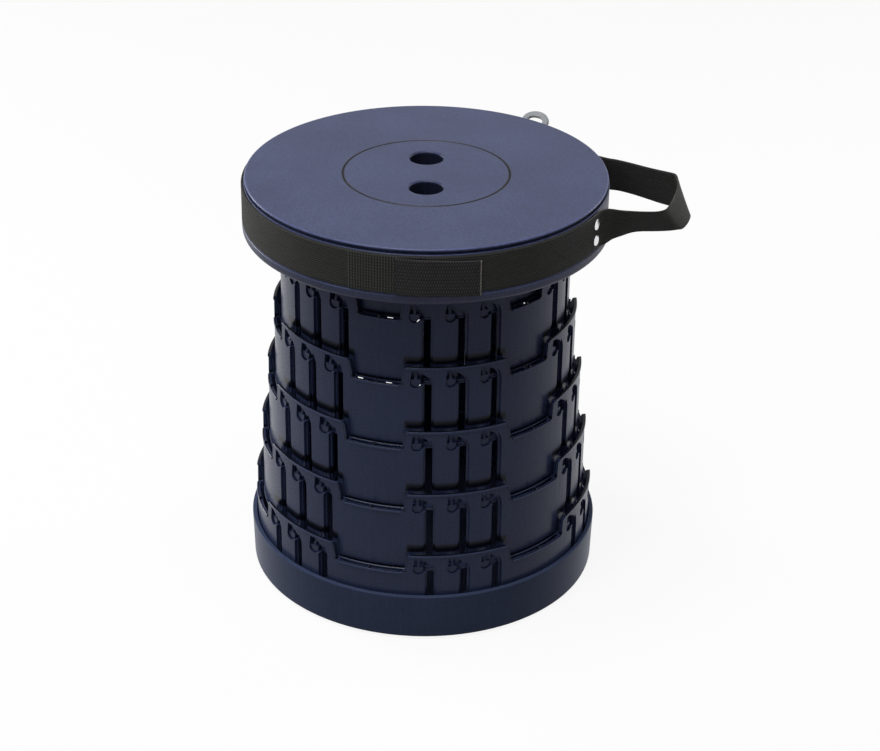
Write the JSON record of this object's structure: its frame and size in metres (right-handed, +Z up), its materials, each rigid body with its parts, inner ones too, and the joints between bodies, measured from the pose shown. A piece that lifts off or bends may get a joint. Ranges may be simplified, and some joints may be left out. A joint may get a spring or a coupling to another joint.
{
  "type": "telescopic stool",
  "caption": "round collapsible stool of nested locking rings that fold flat, with a webbing side handle and finger holes in the seat",
  "frame": {"origin": "middle of the underside, on the floor, where the middle foot pad stands", "axes": "+Z is up along the stages' common axis, -Y faces the front with the strap's end, +X points to the carrying handle; every stage slides along Z"},
  "size_m": [0.314, 0.2592, 0.3043],
  "materials": {
    "base_plastic": "fine matt texture, dark blue grey",
    "ring_plastic": "satin moulded, dark blue grey",
    "seat_plastic": "satin moulded, blue grey, a little lighter than the rings",
    "pad_rubber": "matt black",
    "screw_steel": "zinc plated",
    "rivet_metal": "polished dome",
    "webbing": "woven polyester, dark grey",
    "loop_pile": "loop pile in fine upright rows, dark grey",
    "hook_tape": "hook tape, dark grey",
    "ring_grey": "smooth light grey"
  },
  "bodies": {
    "base": {"base_tray": "base_plastic", "foot_pads": "pad_rubber", "middle_pad": "pad_rubber", "base_screws": "screw_steel", "ring_5": "ring_plastic"},
    "stage_4": {"ring_4": "ring_plastic"},
    "stage_3": {"ring_3": "ring_plastic"},
    "stage_2": {"ring_2": "ring_plastic"},
    "stage_1": {"ring_1": "ring_plastic"},
    "seat": {"seat_ring": "ring_plastic", "seat_shell": "seat_plastic", "seat_screws": "screw_steel", "centre_cap": "seat_plastic", "carry_strap": "webbing", "loop_patch": "loop_pile", "hook_patch": "hook_tape", "closing_flap": "webbing", "front_rivets": "rivet_metal", "rear_rivets": "rivet_metal", "hang_tab": "webbing", "hang_ring": "ring_grey"}
  },
  "joints": [
    {"name": "stage_4_slide", "type": "slide", "parent": "base", "child": "stage_4", "axis": [0, 0, -1], "range_m": [0, 0.0456]},
    {"name": "stage_3_slide", "type": "slide", "parent": "stage_4", "child": "stage_3", "axis": [0, 0, -1], "range_m": [0, 0.0456]},
    {"name": "stage_2_slide", "type": "slide", "parent": "stage_3", "child": "stage_2", "axis": [0, 0, -1], "range_m": [0, 0.0456]},
    {"name": "stage_1_slide", "type": "slide", "parent": "stage_2", "child": "stage_1", "axis": [0, 0, -1], "range_m": [0, 0.0456]},
    {"name": "seat_slide", "type": "slide", "parent": "stage_1", "child": "seat", "axis": [0, 0, -1], "range_m": [0, 0.0456]}
  ]
}
